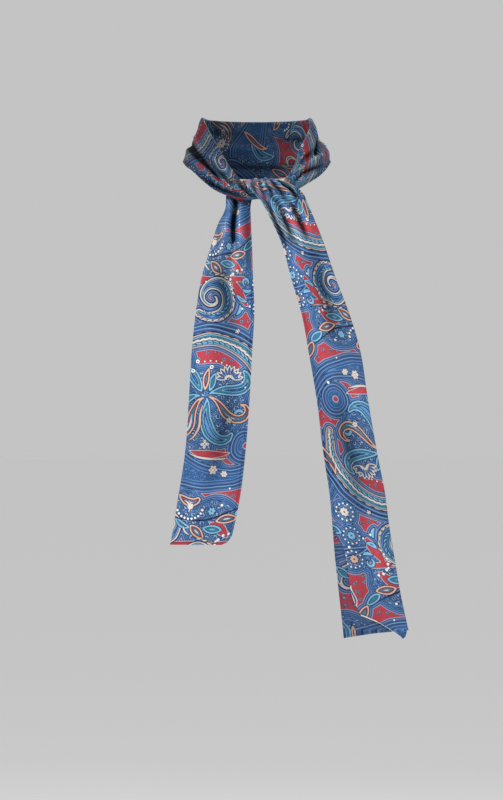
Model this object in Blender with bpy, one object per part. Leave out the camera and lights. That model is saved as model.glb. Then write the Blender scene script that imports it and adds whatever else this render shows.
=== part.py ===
# A long silk scarf, folded lengthwise in two, laid round a neck and tied in front with one half knot,
# so that two flat tails hang down the chest.
# The whole scarf is one folded strip of cloth on one path. The path starts at the left tail's hem, goes
# up to the knot and behind it, round the neck and back to the knot, once round the crossing there and
# down to the right tail's hem. Each stretch that shows is an object of its own.
# X points to the right as seen from the front, the front faces -Y and Z is up. The origin is on the
# band's inner face at the middle of the back of the neck.

import math
from collections import namedtuple

import bmesh
import bpy
import numpy as np

# Driving dimensions, in metres
PLY = 0.0012                # one layer of the cloth
PLY_SPACING = 0.0020        # from the middle of one layer to the middle of the other
FOLD_ROLL = 0.0011          # how much further each layer stands off along the soft lengthwise fold
SEAM_GAP = 0.0003           # between two stretches
LEFT_HEM = 0.015            # how far the left tail's hem is from the first row of its table
RIGHT_HEM = -0.026          # how far the right tail's hem is from the last row of its table

# Places on the cloth, as fractions of its folded width
ROLL_REACH = 0.12           # how far the soft roll reaches in from the fold
CREASE_REACH = 0.17         # half width of a lengthwise crease
RIPPLES = 3                 # shallow waves from edge to edge

# How finely the cloth is divided: each layer, the fold between them, and half way round the neck
PLY_STEPS = 11
TURN_STEPS = 4
NECK_STEPS = 8

# A row is one section across the folded cloth, in millimetres: where its folded edge and its free edge
# lie, how far its middle bows out, where a crease runs (0 at the fold, 1 at the free edges) and how deep
# it is, how high the ripples stand, and how much of the width the outer layer covers.
MM = 0.001
Row = namedtuple("Row", "fold_x fold_y fold_z free_x free_y free_z bow crease depth ripple lap",
                 defaults=(1.0,))

LEFT_TAIL = [
    Row(-113.5, -181, -543.5, -39.5, -185, -543.5, 1.5, 0.50, 0.0, 0.3),
    Row(-110.0, -180, -522.5, -34.0, -184, -522.5, 2.0, 0.50, 0.0, 0.3),
    Row(-101.5, -177, -470.5, -23.0, -181, -470.0, 3.0, 0.50, 0.5, 0.5),
    Row(-91.5, -175, -404.5, -15.0, -179, -404.5, 3.5, 0.45, 1.5, 0.3),
    Row(-87.0, -174, -339.0, -10.0, -178, -339.0, 4.0, 0.42, 1.5, 0.2),
    Row(-83.0, -173, -273.5, -6.5, -176, -273.5, 4.5, 0.42, 1.0, 0.5),
    Row(-78.0, -172, -224.5, -4.0, -171, -224.5, 5.0, 0.47, 2.0, 0.5),
    Row(-69.5, -168, -174.5, -6.0, -165, -174.5, 5.0, 0.52, 3.5, 0.6),
    Row(-59.5, -161, -141.0, -7.0, -159, -141.0, 4.5, 0.54, 5.0, 0.5),
    Row(-49.0, -151, -106.5, -8.5, -150, -106.0, 3.5, 0.49, 4.2, 0.0),
    Row(-39.0, -142, -84.5, -9.0, -144, -84.5, 2.5, 0.42, 3.0, 0.0),
]

RIGHT_STRAND = [
    Row(-35.5, -136, -63.5, -8.0, -139.5, -76.5, 2.0, 0.40, 2.0, 0.0),
    Row(-22.5, -135.5, -59.5, -6.5, -138, -72.0, 1.5, 0.40, 0.0, 0.0),
    Row(-2.5, -136, -57.5, 1.5, -138, -71.0, 1.5, 0.40, 0.0, 0.0),
    Row(14.5, -136, -58.5, 17.5, -138.5, -71.5, 1.5, 0.40, 0.0, 0.0),
    Row(30.5, -135, -54.5, 36.0, -139, -68.5, 1.5, 0.45, 1.0, 0.0),
    Row(41.5, -131, -43.5, 46.5, -138, -64.0, 2.0, 0.52, 2.5, 0.0),
    Row(51.0, -123, -26.5, 54.0, -134, -59.0, 3.0, 0.56, 4.0, 0.3),
    Row(57.0, -112, -7.0, 65.5, -127, -51.5, 4.0, 0.55, 4.5, 0.6),
    Row(64.5, -101, 9.0, 78.0, -116, -42.5, 5.0, 0.48, 5.5, 0.8),
    Row(72.0, -84, 27.5, 90.5, -94, -29.5, 5.0, 0.42, 6.0, 0.6),
]

# Round the back of the neck the band lies on two half ovals, an upper one for the fold and a lower, wider
# one for the free edges, from the section at the right side of the neck by way of the one at the nape
NECK_SIDE = Row(73.0, -67, 41.0, 98.0, -71, -17.0, 4.5, 0.40, 5.5, 0.5)
NAPE = Row(0.0, -13, 42.0, 0.0, 13, -32.0, 0.0, 0.26, 3.5, 0.0)

LEFT_STRAND = [
    Row(-65.5, -86, 21.5, -92.5, -94, -24.5, 5.0, 0.40, 6.0, 0.6),
    Row(-55.0, -103, 2.0, -80.0, -116, -38.0, 5.0, 0.44, 7.0, 0.8),
    Row(-46.5, -117, -14.0, -68.0, -129, -50.0, 4.5, 0.50, 6.5, 0.6),
    Row(-37.0, -129, -30.5, -54.5, -140, -61.0, 4.0, 0.56, 5.0, 0.3),
    Row(-24.0, -141, -50.0, -38.5, -147, -68.5, 3.0, 0.60, 2.5, 0.0),
    Row(-14.5, -147, -58.0, -25.0, -150, -73.0, 2.0, 0.60, 1.0, 0.0),
    Row(-6.5, -148, -61.0, -9.0, -151, -74.0, 1.5, 0.60, 0.0, 0.0),
    Row(1.5, -148, -61.0, 2.5, -151, -73.0, 1.0, 0.60, 0.0, 0.0),
]

KNOT_WRAP = [
    Row(17.0, -147, -63.0, 9.5, -149.0, -75.0, 1.0, 0.50, 0.0, 0.0),
    Row(31.0, -146.5, -73.0, 11.5, -147.5, -80.5, 1.0, 0.50, 0.0, 0.0),
    Row(36.5, -138.5, -80.0, 12.0, -139, -83.0, 1.0, 0.50, 0.0, 0.0),
    Row(36.5, -129.0, -76.0, 9.5, -129.5, -78.5, 1.0, 0.50, 0.0, 0.0),
    Row(34.0, -124.5, -66.0, 4.0, -125.5, -68.0, 1.0, 0.50, 0.0, 0.3),
    Row(31.0, -124.5, -57.0, -8.0, -126, -58.5, 1.0, 0.50, 0.0, 0.5),
    Row(27.0, -129.0, -50.0, -16.5, -130.5, -51.5, 2.0, 0.50, 0.0, 0.8),
    Row(26.0, -137.5, -48.5, -15.5, -138.5, -50.0, 3.0, 0.50, 0.0, 0.9),
    Row(32.0, -147.0, -51.0, -12.0, -148, -52.0, 3.0, 0.50, 0.0, 1.0),
    Row(42.5, -153.5, -55.5, -10.5, -155.5, -57.0, 2.5, 0.45, 0.5, 1.0),
    Row(53.0, -154.0, -61.0, -7.5, -159.0, -63.5, 2.5, 0.52, 2.0, 1.0),
    Row(60.0, -154.0, -69.0, 0.5, -160.5, -71.5, 3.0, 0.66, 3.0, 0.9),
]

RIGHT_TAIL = [
    Row(64.0, -155, -79.0, 8.5, -161.5, -80.5, 3.5, 0.76, 3.5, 0.6),
    Row(70.5, -157, -94.0, 16.0, -163, -96.0, 4.0, 0.78, 2.5, 0.4),
    Row(84.0, -161, -128.0, 31.5, -166, -129.5, 4.5, 0.75, 1.5, 0.5),
    Row(101.5, -164, -179.5, 45.5, -170, -180.0, 5.0, 0.60, 1.5, 0.5),
    Row(121.0, -166, -231.0, 60.0, -173, -231.0, 5.0, 0.55, 2.0, 0.3),
    Row(133.0, -166, -273.0, 67.5, -175, -273.5, 5.0, 0.50, 1.5, 0.5),
    Row(143.5, -166, -339.0, 78.5, -177, -339.0, 4.5, 0.45, 1.0, 0.5),
    Row(155.0, -165, -405.0, 86.5, -177, -404.5, 4.5, 0.40, 1.5, 0.3),
    Row(167.5, -163, -471.0, 96.0, -177, -470.5, 4.0, 0.40, 1.5, 0.5),
    Row(171.0, -162.5, -500.0, 98.5, -177, -500.0, 3.5, 0.42, 1.0, 0.5, 1.00),
    Row(177.0, -162, -537.0, 101.5, -177, -536.0, 3.5, 0.45, 1.0, 0.4, 0.84),
    Row(188.5, -161, -603.0, 108.5, -177, -601.5, 3.0, 0.45, 0.5, 0.3, 0.78),
    Row(197.0, -160, -642.5, 113.0, -176, -641.5, 2.5, 0.45, 0.0, 0.2, 0.62),
    Row(201.0, -160, -669.0, 115.5, -176, -667.5, 2.0, 0.45, 0.0, 0.2, 0.62),
]

# How far each layer's hem lies past the straight section, by the place across the cloth, in
# millimetres along the path
Hem = namedtuple("Hem", "across outer inner")
LEFT_HEM_LINE = [Hem(0.0, 0, 0), Hem(0.86, 0, 0), Hem(0.95, 5, 4), Hem(1.0, 15, 13)]
RIGHT_HEM_LINE = [Hem(0.0, 0, 0), Hem(0.06, 8, 0.5), Hem(0.13, 11, 1), Hem(0.48, -3, 3.5),
                  Hem(0.62, -9, 5), Hem(1.0, -20, 10)]

# The stretches in the order of the path: object name, rows of the mesh along it and sRGB colour
Stretch = namedtuple("Stretch", "name steps color")
STRETCHES = [
    Stretch("tail_left", 20, (0.30, 0.41, 0.58)),
    Stretch("strand_right", 16, (0.29, 0.39, 0.55)),
    Stretch("neck_band", 22, (0.27, 0.36, 0.52)),
    Stretch("strand_left", 14, (0.28, 0.37, 0.53)),
    Stretch("knot_wrap", 24, (0.31, 0.41, 0.57)),
    Stretch("tail_right", 27, (0.32, 0.43, 0.60)),
]
SILK_ROUGHNESS = 0.42
SRGB_GAMMA = 2.2
DIFFERENCE = 0.0005         # half step for reading a slope, in metres or as a fraction of the width


def neck_rows():
    """The sections round the back of the neck, from its right side to its left."""
    rows = []
    for step in range(NECK_STEPS + 1):
        turn = math.radians(90 - 180 * step / NECK_STEPS)
        back = math.cos(turn)
        row = Row(*[side + (nape - side) * back for side, nape in zip(NECK_SIDE, NAPE)])
        rows.append(row._replace(fold_x=NECK_SIDE.fold_x * math.sin(turn),
                                 free_x=NECK_SIDE.free_x * math.sin(turn)))
    return rows


def section_middle(row):
    """The middle of a section, where its distance along the path is measured."""
    return np.array([row.fold_x + row.free_x, row.fold_y + row.free_y, row.fold_z + row.free_z]) * MM / 2


def lay_path():
    """All rows in one array, their distances along the path, and the distance of each seam."""
    parts = [LEFT_TAIL, RIGHT_STRAND, neck_rows(), LEFT_STRAND, KNOT_WRAP, RIGHT_TAIL]
    rows = [row for part in parts for row in part]
    middles = np.array([section_middle(row) for row in rows])
    steps = np.linalg.norm(np.diff(middles, axis=0), axis=1)
    distance = np.concatenate([[0.0], np.cumsum(steps)])
    ends = np.cumsum([len(part) for part in parts])[:-1]
    seams = [(distance[end - 1] + distance[end]) / 2 for end in ends]
    limits = [distance[0] + LEFT_HEM] + seams + [distance[-1] + RIGHT_HEM]
    return np.array(rows, dtype=float), distance, limits


ROWS, DISTANCE, LIMITS = lay_path()


def read_rows(along):
    """A smooth curve through every column of the rows, read at the given distances."""
    slope = np.gradient(ROWS, DISTANCE, axis=0)
    low = np.clip(np.searchsorted(DISTANCE, along, side="right") - 1, 0, len(DISTANCE) - 2)
    span = DISTANCE[low + 1] - DISTANCE[low]
    t = ((along - DISTANCE[low]) / span)[..., None]
    span = span[..., None]
    value = (ROWS[low] * (1 + 2 * t) * (1 - t) ** 2 + ROWS[low + 1] * t ** 2 * (3 - 2 * t)
             + slope[low] * span * t * (1 - t) ** 2 - slope[low + 1] * span * t ** 2 * (1 - t))
    return Row(*np.moveaxis(value, -1, 0))


def edges(along):
    """The folded and the free edge of the section at a distance, and the section's other columns."""
    row = read_rows(along)
    fold = np.stack([row.fold_x, row.fold_y, row.fold_z], axis=-1) * MM
    free = np.stack([row.free_x, row.free_y, row.free_z], axis=-1) * MM
    return fold, free, row


def unit(vectors):
    """The same directions, each of length 1."""
    return vectors / np.linalg.norm(vectors, axis=-1, keepdims=True)


def middle(along, across):
    """The surface halfway between the two layers, with its bow, crease and ripples."""
    fold, free, row = edges(along)
    ahead = sum(edges(along + DIFFERENCE)[:2])
    behind = sum(edges(along - DIFFERENCE)[:2])
    outward = unit(np.cross(free - fold, ahead - behind))
    rise = row.bow * 4 * across * (1 - across)
    rise = rise - row.depth * np.exp(-((across - row.crease) / CREASE_REACH) ** 2)
    rise = rise + row.ripple * np.cos(2 * math.pi * RIPPLES * across)
    return fold + (free - fold) * across[..., None] + outward * rise[..., None] * MM


def cloth_point(along, across, turn, side):
    """A point of the cloth's wall. The turn is 0 on the outer layer and pi on the inner one, and the
    side is 1 on the face that shows and -1 on the face inside the fold."""
    centre = middle(along, across)
    down_path = middle(along + DIFFERENCE, across) - middle(along - DIFFERENCE, across)
    to_free = unit(middle(along, across + DIFFERENCE) - middle(along, across - DIFFERENCE))
    outward = unit(np.cross(to_free, down_path))
    half = PLY_SPACING / 2 + FOLD_ROLL * np.exp(-across / ROLL_REACH) + side * PLY / 2
    stand_off = outward * np.cos(turn)[..., None] - to_free * np.sin(turn)[..., None]
    return centre + stand_off * half[..., None]


def cloth_columns():
    """Across the unfolded cloth: the outer layer in to the fold, round it, and the inner layer out."""
    ply = np.linspace(1, 0, PLY_STEPS + 1)
    turn = np.linspace(0, math.pi, TURN_STEPS + 1)[1:-1]
    across = np.concatenate([ply, np.zeros(len(turn)), ply[::-1]])
    angle = np.concatenate([np.zeros(len(ply)), turn, np.full(len(ply), math.pi)])
    return across, angle


def hem_offset(line, across, angle):
    """How far each column's end lies from the straight hem, in metres along the path."""
    places = [point.across for point in line]
    outer = np.interp(across, places, [point.outer for point in line])
    inner = np.interp(across, places, [point.inner for point in line])
    return np.where(angle < math.pi / 2, outer, inner) * MM


def silk(stretch):
    """Plain silk in the mean colour of the stretch's print."""
    material = bpy.data.materials.new("silk_" + stretch.name)
    material.use_nodes = True
    shader = material.node_tree.nodes["Principled BSDF"]
    shader.inputs["Base Color"].default_value = (*[value ** SRGB_GAMMA for value in stretch.color], 1)
    shader.inputs["Roughness"].default_value = SILK_ROUGHNESS
    shader.inputs["Metallic"].default_value = 0.0
    return material


def add_stretch(index, stretch):
    """One stretch of the folded cloth, as a grid laid on the path and given its thickness."""
    across, angle = cloth_columns()
    first = np.full(len(across), LIMITS[index] + SEAM_GAP / 2)
    last = np.full(len(across), LIMITS[index + 1] - SEAM_GAP / 2)
    if index == 0:
        first += hem_offset(LEFT_HEM_LINE, across, angle)
    if index == len(STRETCHES) - 1:
        last += hem_offset(RIGHT_HEM_LINE, across, angle)

    # A flat slab of grid squares, one cell for each step, whose corners are then laid on the path
    bm = bmesh.new()
    bmesh.ops.create_grid(bm, x_segments=stretch.steps, y_segments=len(across) - 1, size=1)
    raised = bmesh.ops.extrude_face_region(bm, geom=bm.faces[:])["geom"]
    for item in raised:
        if isinstance(item, bmesh.types.BMVert):
            item.co.z = 1
    bmesh.ops.recalc_face_normals(bm, faces=bm.faces[:])
    places = np.array([vert.co for vert in bm.verts])
    share = (places[:, 0] + 1) / 2
    column = np.rint((places[:, 1] + 1) / 2 * (len(across) - 1)).astype(int)
    side = places[:, 2] * 2 - 1
    along = first[column] + (last - first)[column] * share
    lap = np.where(angle[column] == 0, np.minimum(read_rows(along).lap, 1), 1)
    points = cloth_point(along, across[column] * lap, angle[column], side)
    for vert, point in zip(bm.verts, points):
        vert.co = point
    if bm.calc_volume(signed=True) < 0:
        bmesh.ops.reverse_faces(bm, faces=bm.faces[:])
    mesh = bpy.data.meshes.new(stretch.name)
    bm.to_mesh(mesh)
    bm.free()
    mesh.shade_smooth()
    mesh.materials.append(silk(stretch))

    bpy.context.collection.objects.link(bpy.data.objects.new(stretch.name, mesh))


for old in list(bpy.data.objects):
    bpy.data.objects.remove(old)
for number, stretch in enumerate(STRETCHES):
    add_stretch(number, stretch)
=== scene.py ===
# A long printed silk scarf, folded lengthwise in two, laid round a neck and tied in front with one
# half knot, so that two flat tails hang down.
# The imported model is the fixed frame. The whole scarf is one folded strip of cloth on one path: from
# the left tail's hem up to the knot and behind it, round the neck and back, once round the crossing
# and down to the right tail's hem. Here nearly the same path carries a thin shell of silk with its
# finer folds, and a paisley print that is drawn from formulas on the flat cloth.
# X points to the right as seen from the front, the front faces -Y and Z is up.

import math
from collections import namedtuple

import bmesh
import bpy
import numpy as np
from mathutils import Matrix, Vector


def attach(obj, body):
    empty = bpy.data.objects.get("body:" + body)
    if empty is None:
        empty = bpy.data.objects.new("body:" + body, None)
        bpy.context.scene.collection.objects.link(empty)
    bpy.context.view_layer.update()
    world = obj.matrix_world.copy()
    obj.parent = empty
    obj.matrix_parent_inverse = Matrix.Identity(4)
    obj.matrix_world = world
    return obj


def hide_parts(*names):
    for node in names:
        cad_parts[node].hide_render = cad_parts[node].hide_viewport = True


bl_info = {
    "name": "Paisley Silk Scarf",
    "version": (1, 0, 0),
    "blender": (4, 5, 0),
    "location": "View3D > Sidebar > Scarf",
    "description": "Dresses the packed scarf in printed silk with its folds, hems and paisley",
    "category": "Add Mesh",
}

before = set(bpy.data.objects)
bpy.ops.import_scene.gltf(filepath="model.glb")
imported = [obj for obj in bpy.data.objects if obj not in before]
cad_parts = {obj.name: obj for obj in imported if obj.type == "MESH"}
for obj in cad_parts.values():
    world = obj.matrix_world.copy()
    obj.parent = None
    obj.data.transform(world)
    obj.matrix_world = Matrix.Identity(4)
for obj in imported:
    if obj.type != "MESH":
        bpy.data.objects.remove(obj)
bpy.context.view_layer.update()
MM = 0.001


def table(kind, rows):
    """Rows of numbers, with the named columns of their kind."""
    return [kind(*row) for row in rows]


# The folded strip, as it is in the solids but for a few millimetres beside the knot. A row is one
# section across it, in millimetres. It says where the folded edge and the free edge lie, how far the
# middle bows out, where a crease runs (0 at the fold, 1 at the free edges) and how deep it is, how high
# the ripples stand, and how much of the width the outer layer covers.
Row = namedtuple("Row", "fold_x fold_y fold_z free_x free_y free_z bow crease depth ripple lap",
                 defaults=(1.0,))

LEFT_TAIL = table(Row, [
    (-113.5, -181, -543.5, -39.5, -185, -543.5, 1.5, 0.50, 0.0, 0.3),
    (-110.0, -180, -522.5, -34.0, -184, -522.5, 2.0, 0.50, 0.0, 0.3),
    (-101.5, -177, -470.5, -23.0, -181, -470.0, 3.0, 0.50, 0.5, 0.5),
    (-91.5, -175, -404.5, -15.0, -179, -404.5, 3.5, 0.45, 1.5, 0.3),
    (-87.0, -174, -339.0, -10.0, -178, -339.0, 4.0, 0.42, 1.5, 0.2),
    (-83.0, -173, -273.5, -6.5, -176, -273.5, 4.5, 0.42, 1.0, 0.5),
    (-78.0, -172, -224.5, -4.0, -171, -224.5, 5.0, 0.47, 2.0, 0.5),
    (-69.5, -168, -174.5, -6.0, -165, -174.5, 5.0, 0.52, 3.5, 0.6),
    (-59.5, -161, -141.0, -7.0, -159, -141.0, 4.5, 0.54, 5.0, 0.5),
    (-49.0, -151, -106.5, -8.5, -150, -106.0, 3.5, 0.49, 4.2, 0.0),
    (-39.0, -142, -84.5, -9.0, -144, -84.5, 2.5, 0.42, 3.0, 0.0),
])
RIGHT_STRAND = table(Row, [
    (-35.5, -136, -63.5, -8.0, -139.5, -76.5, 2.0, 0.40, 2.0, 0.0),
    (-22.5, -135.5, -59.5, -6.5, -138, -72.0, 1.5, 0.40, 0.0, 0.0),
    (-2.5, -136, -57.5, 1.5, -138, -71.0, 1.5, 0.40, 0.0, 0.0),
    (14.5, -136, -58.5, 17.5, -138.5, -71.5, 1.5, 0.40, 0.0, 0.0),
    (30.5, -135, -54.5, 36.0, -139, -68.5, 1.5, 0.45, 1.0, 0.0),
    (41.5, -131, -43.5, 46.5, -138, -64.0, 2.0, 0.52, 2.5, 0.0),
    (51.0, -123, -26.5, 54.0, -134, -59.0, 3.0, 0.56, 4.0, 0.3),
    (57.0, -112, -7.0, 65.5, -127, -51.5, 4.0, 0.55, 4.5, 0.6),
    (64.5, -101, 9.0, 78.0, -116, -42.5, 5.0, 0.48, 5.5, 0.8),
    (72.0, -84, 27.5, 90.5, -94, -29.5, 5.0, 0.42, 6.0, 0.6),
])
NECK_SIDE = Row(73.0, -67, 41.0, 98.0, -71, -17.0, 4.5, 0.40, 5.5, 0.5)
NAPE = Row(0.0, -13, 42.0, 0.0, 13, -32.0, 0.0, 0.26, 3.5, 0.0)
NECK_STEPS = 8
LEFT_STRAND = table(Row, [
    (-65.5, -86, 21.5, -92.5, -94, -24.5, 5.0, 0.40, 6.0, 0.6),
    (-55.0, -103, 2.0, -80.0, -116, -38.0, 5.0, 0.44, 7.0, 0.8),
    (-46.5, -117, -14.0, -68.0, -129, -50.0, 4.5, 0.50, 6.5, 0.6),
    (-37.0, -129, -30.5, -54.5, -140, -61.0, 4.0, 0.56, 5.0, 0.3),
    (-24.0, -141, -48.5, -38.5, -147, -68.5, 3.0, 0.60, 2.5, 0.0),
    (-14.5, -147, -57.0, -25.0, -150, -73.0, 2.0, 0.60, 1.0, 0.0),
    (-6.5, -148, -61.0, -9.0, -151, -74.0, 1.5, 0.60, 0.0, 0.0),
    (1.5, -148, -61.0, 2.5, -151, -73.0, 1.0, 0.60, 0.0, 0.0),
])
KNOT_WRAP = table(Row, [
    (17.0, -147, -63.0, 9.5, -149.0, -75.0, 1.0, 0.50, 0.0, 0.0),
    (31.0, -146.5, -73.0, 11.5, -147.5, -80.5, 1.0, 0.50, 0.0, 0.0),
    (36.5, -138.5, -80.0, 12.0, -139, -83.0, 1.0, 0.50, 0.0, 0.0),
    (36.5, -129.0, -76.0, 9.5, -129.5, -78.5, 1.0, 0.50, 0.0, 0.0),
    (34.0, -124.5, -66.0, 4.0, -125.5, -68.0, 1.0, 0.50, 0.0, 0.3),
    (31.0, -124.5, -57.0, -8.0, -126, -58.5, 1.0, 0.50, 0.0, 0.5),
    (27.0, -129.0, -50.0, -18.5, -130.5, -51.5, 2.0, 0.50, 0.0, 0.8),
    (26.0, -137.5, -48.5, -18.0, -138.5, -50.0, 3.0, 0.50, 0.0, 0.9),
    (32.0, -147.0, -51.0, -15.5, -149.5, -53.0, 3.0, 0.50, 0.0, 1.0),
    (42.5, -153.5, -55.5, -12.5, -156.5, -58.0, 2.5, 0.45, 0.5, 1.0),
    (53.0, -154.0, -61.0, -7.5, -159.0, -63.5, 2.5, 0.52, 2.0, 1.0),
    (60.0, -154.0, -69.0, 0.5, -160.5, -71.5, 3.0, 0.66, 3.0, 0.9),
])
RIGHT_TAIL = table(Row, [
    (64.0, -155, -79.0, 8.5, -161.5, -80.5, 3.5, 0.76, 3.5, 0.6),
    (70.5, -157, -94.0, 16.0, -163, -96.0, 4.0, 0.78, 2.5, 0.4),
    (84.0, -161, -128.0, 31.5, -166, -129.5, 4.5, 0.75, 1.5, 0.5),
    (101.5, -164, -179.5, 45.5, -170, -180.0, 5.0, 0.60, 1.5, 0.5),
    (121.0, -166, -231.0, 60.0, -173, -231.0, 5.0, 0.55, 2.0, 0.3),
    (133.0, -166, -273.0, 67.5, -175, -273.5, 5.0, 0.50, 1.5, 0.5),
    (143.5, -166, -339.0, 78.5, -177, -339.0, 4.5, 0.45, 1.0, 0.5),
    (155.0, -165, -405.0, 86.5, -177, -404.5, 4.5, 0.40, 1.5, 0.3),
    (167.5, -163, -471.0, 96.0, -177, -470.5, 4.0, 0.40, 1.5, 0.5),
    (171.0, -162.5, -500.0, 98.5, -177, -500.0, 3.5, 0.42, 1.0, 0.5, 1.00),
    (177.0, -162, -537.0, 101.5, -177, -536.0, 3.5, 0.45, 1.0, 0.4, 0.84),
    (188.5, -161, -603.0, 108.5, -177, -601.5, 3.0, 0.45, 0.5, 0.3, 0.78),
    (197.0, -160, -642.5, 113.0, -176, -641.5, 2.5, 0.45, 0.0, 0.2, 0.62),
    (201.0, -160, -669.0, 115.5, -176, -667.5, 2.0, 0.45, 0.0, 0.2, 0.62),
])
PLY_REACH = 1.6             # how far the outside of each layer stands off the strip's middle
FOLD_ROLL = 1.1             # how much further it stands off along the soft lengthwise fold
ROLL_REACH = 0.12           # how far the soft roll reaches in from the fold, of the folded width
CREASE_REACH = 0.17         # half width of a lengthwise crease, of the folded width
RIPPLES = 3                 # shallow waves from edge to edge
LEFT_HEM = 15.0             # how far along the path the left tail's hem is from the first row
RIGHT_HEM = -26.0           # and the right tail's hem from the last row
STEP_ALONG = 0.5            # half steps for reading a slope: in millimetres along the path,
STEP_ACROSS = 0.0005        # and as a fraction of the folded width

# How far each layer's hem lies past the straight section, by the place across the cloth
Hem = namedtuple("Hem", "across outer inner")
LEFT_HEM_LINE = [Hem(0.0, 0, 0), Hem(0.86, 0, 0), Hem(0.95, 5, 4), Hem(1.0, 15, 13)]
RIGHT_HEM_LINE = [Hem(0.0, 0, 0), Hem(0.06, 8, 0.5), Hem(0.13, 11, 1), Hem(0.48, -3, 3.5),
                  Hem(0.62, -9, 5), Hem(1.0, -20, 10)]

# The finer folds of the silk, placed one by one: each runs straight over the cloth from one place to
# another, given as millimetres along the path and fractions of the folded width. The reach is half its
# width and the rise its height, below nothing for a trough.
Fold = namedtuple("Fold", "along across to_along to_across reach rise")
FOLD_ENDS = 0.45            # how much of its height a fold has at its ends
FOLD_OVER = 3               # how many reaches past its ends it is left out
FOLDS = table(Fold, [
    # the left tail below the knot: a deep valley between two facets, and slack waves further down
    (476, 0.32, 418, 0.52, 3.2, -6.4),
    (474, 0.12, 424, 0.28, 4.0, 2.4),
    (476, 0.54, 410, 0.74, 4.6, 2.6),
    (462, 0.88, 380, 0.94, 4.0, -1.3),
    (384, 0.30, 300, 0.62, 11.0, -1.6),
    (330, 0.80, 210, 0.86, 10.0, 1.2),
    (300, 0.14, 180, 0.30, 12.0, 1.3),
    (215, 0.66, 110, 0.52, 13.0, -1.4),
    (120, 0.24, 30, 0.20, 12.0, 1.1),
    (110, 0.78, 34, 0.70, 10.0, 1.0),
    # the right strand's creases run slantwise up the neck
    (644, 0.31, 620, 0.55, 3.6, -4.2),
    (648, 0.14, 628, 0.24, 3.2, 2.8),
    (578, 0.26, 618, 0.40, 3.0, -2.0),
    (570, 0.40, 636, 0.68, 3.0, 2.2),
    (564, 0.57, 626, 0.84, 2.8, -2.4),
    (566, 0.80, 612, 0.94, 2.8, 1.3),
    (646, 0.70, 664, 0.90, 4.0, 1.8),
    # round the back of the neck
    (660, 0.62, 760, 0.50, 5.0, 1.6),
    (668, 0.36, 740, 0.26, 4.0, -1.6),
    (700, 0.80, 840, 0.76, 5.0, -1.6),
    (735, 0.36, 880, 0.44, 5.0, 1.5),
    (800, 0.16, 900, 0.22, 4.5, -1.4),
    (820, 0.62, 905, 0.60, 4.0, -1.5),
    # the left strand: a deep valley that runs slantwise down to the knot, with folds on both sides
    (884, 0.62, 950, 0.63, 4.2, -4.6),
    (950, 0.63, 992, 0.60, 3.4, -4.4),
    (984, 0.36, 1020, 0.42, 2.4, -2.0),
    (880, 0.42, 944, 0.40, 3.8, 2.6),
    (944, 0.40, 1008, 0.08, 3.2, 2.4),
    (920, 0.84, 1010, 0.62, 4.4, 3.0),
    (960, 0.96, 1036, 0.74, 3.2, -2.4),
    (1004, 0.52, 1044, 0.36, 2.8, 1.8),
    (1016, 0.05, 1048, 0.54, 2.0, -2.4),
    (1012, 0.20, 1042, 0.68, 1.8, 1.8),
    # the gathered bunch over the knot
    (1124, 0.17, 1194, 0.31, 2.6, 3.0),
    (1132, 0.07, 1196, 0.18, 3.2, -4.2),
    (1132, 0.22, 1192, 0.46, 2.6, -2.4),
    (1132, 0.30, 1188, 0.60, 2.3, 1.9),
    (1138, 0.38, 1187, 0.70, 2.0, -2.0),
    (1140, 0.46, 1185, 0.78, 2.1, 1.9),
    (1142, 0.55, 1184, 0.85, 1.9, -2.0),
    (1144, 0.64, 1182, 0.91, 2.1, 1.9),
    (1144, 0.74, 1180, 0.97, 2.0, -1.8),
    (1136, 0.86, 1172, 1.00, 2.6, 1.6),
    # the right tail spreading out below the knot, and its slack waves
    (1184, 0.90, 1256, 0.92, 2.6, -2.6),
    (1186, 0.76, 1220, 0.87, 2.4, 1.7),
    (1188, 0.64, 1250, 0.70, 3.2, -2.4),
    (1190, 0.50, 1262, 0.54, 4.0, 2.4),
    (1190, 0.34, 1244, 0.34, 3.8, -2.8),
    (1186, 0.16, 1240, 0.20, 4.0, 2.4),
    (1262, 0.80, 1350, 0.86, 7.0, 1.4),
    (1270, 0.30, 1380, 0.46, 9.0, -1.6),
    (1340, 0.74, 1450, 0.66, 11.0, 1.3),
    (1420, 0.24, 1520, 0.16, 10.0, 1.3),
    (1480, 0.56, 1590, 0.44, 12.0, -1.4),
    (1560, 0.80, 1680, 0.84, 9.0, 1.1),
    (1610, 0.22, 1720, 0.34, 10.0, 1.1),
])

# The flat cloth, in millimetres: u runs from the fold over the outer layer, and back over the inner one
# below nothing, and v runs along the scarf. The print lies skew to the fold, and more of its length
# lies bunched in the knot and round the neck than in the tails.
CLOTH_WIDTH = 165.0
FOLD_HALF = 3.3             # half of the cloth's way round the fold
LAYER_WIDTH = CLOTH_WIDTH / 2 - FOLD_HALF
PRINT_SHIFT_AT = [15, 385, 1360, 1730]
PRINT_SHIFT = [0, 15, 25, 53]
PRINT_PLACE_AT = [15, 474, 1186, 1770]
PRINT_PLACE = [15, 474, 1268, 1852]
REPEAT_ALONG = 350.0
REPEAT_ACROSS = 165.0
REACH = 12.0                # distances to a motif are kept up to here
# The print's lines waver as if drawn by hand: by how much, and over how many millimetres to a radian
Waver = namedtuple("Waver", "height along fine_height fine_along across skew")
WAVER = Waver(0.7, 9.0, 0.4, 4.1, 8.0, 23.0)

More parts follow.
